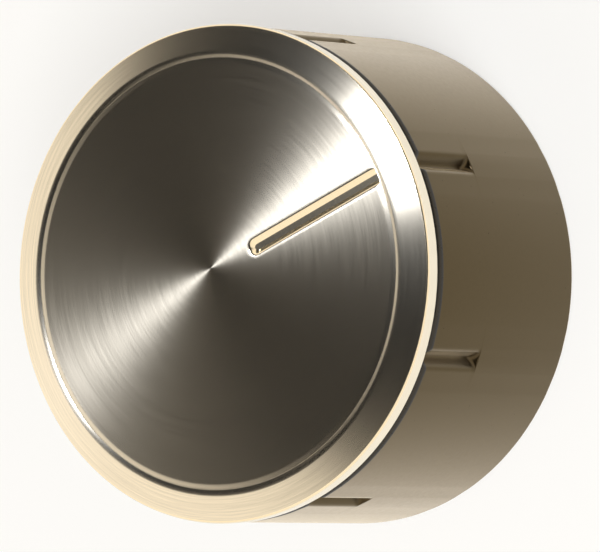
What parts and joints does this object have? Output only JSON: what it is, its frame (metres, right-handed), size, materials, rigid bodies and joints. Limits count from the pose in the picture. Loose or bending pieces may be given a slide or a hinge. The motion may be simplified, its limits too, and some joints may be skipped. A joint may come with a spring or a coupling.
{
  "type": "stove knob",
  "caption": "Round stove knob with a brushed metal face, engraved pointer line, grip notches in a tapered satin-plated shell, and a D-shaped socket with a spring clip for a valve shaft.",
  "frame": {"origin": "centre of the shell's back edge, on the knob's axis", "axes": "+Z along the axis out of the brushed face, +Y along the pointer line"},
  "size_m": [0.046, 0.046, 0.0243],
  "materials": {
    "brushed_cap": "circular brushed face and border, bright-cut grooves and rim",
    "satin_plate": "satin nickel plate on a moulded shell",
    "black_moulding": "matt heat-resistant moulding",
    "spring_steel": "rolled spring strip"
  },
  "bodies": {
    "root": {"front_cap": "brushed_cap", "knob_body": "satin_plate", "hub_insert": "black_moulding", "spring_clip": "spring_steel"}
  },
  "joints": []
}
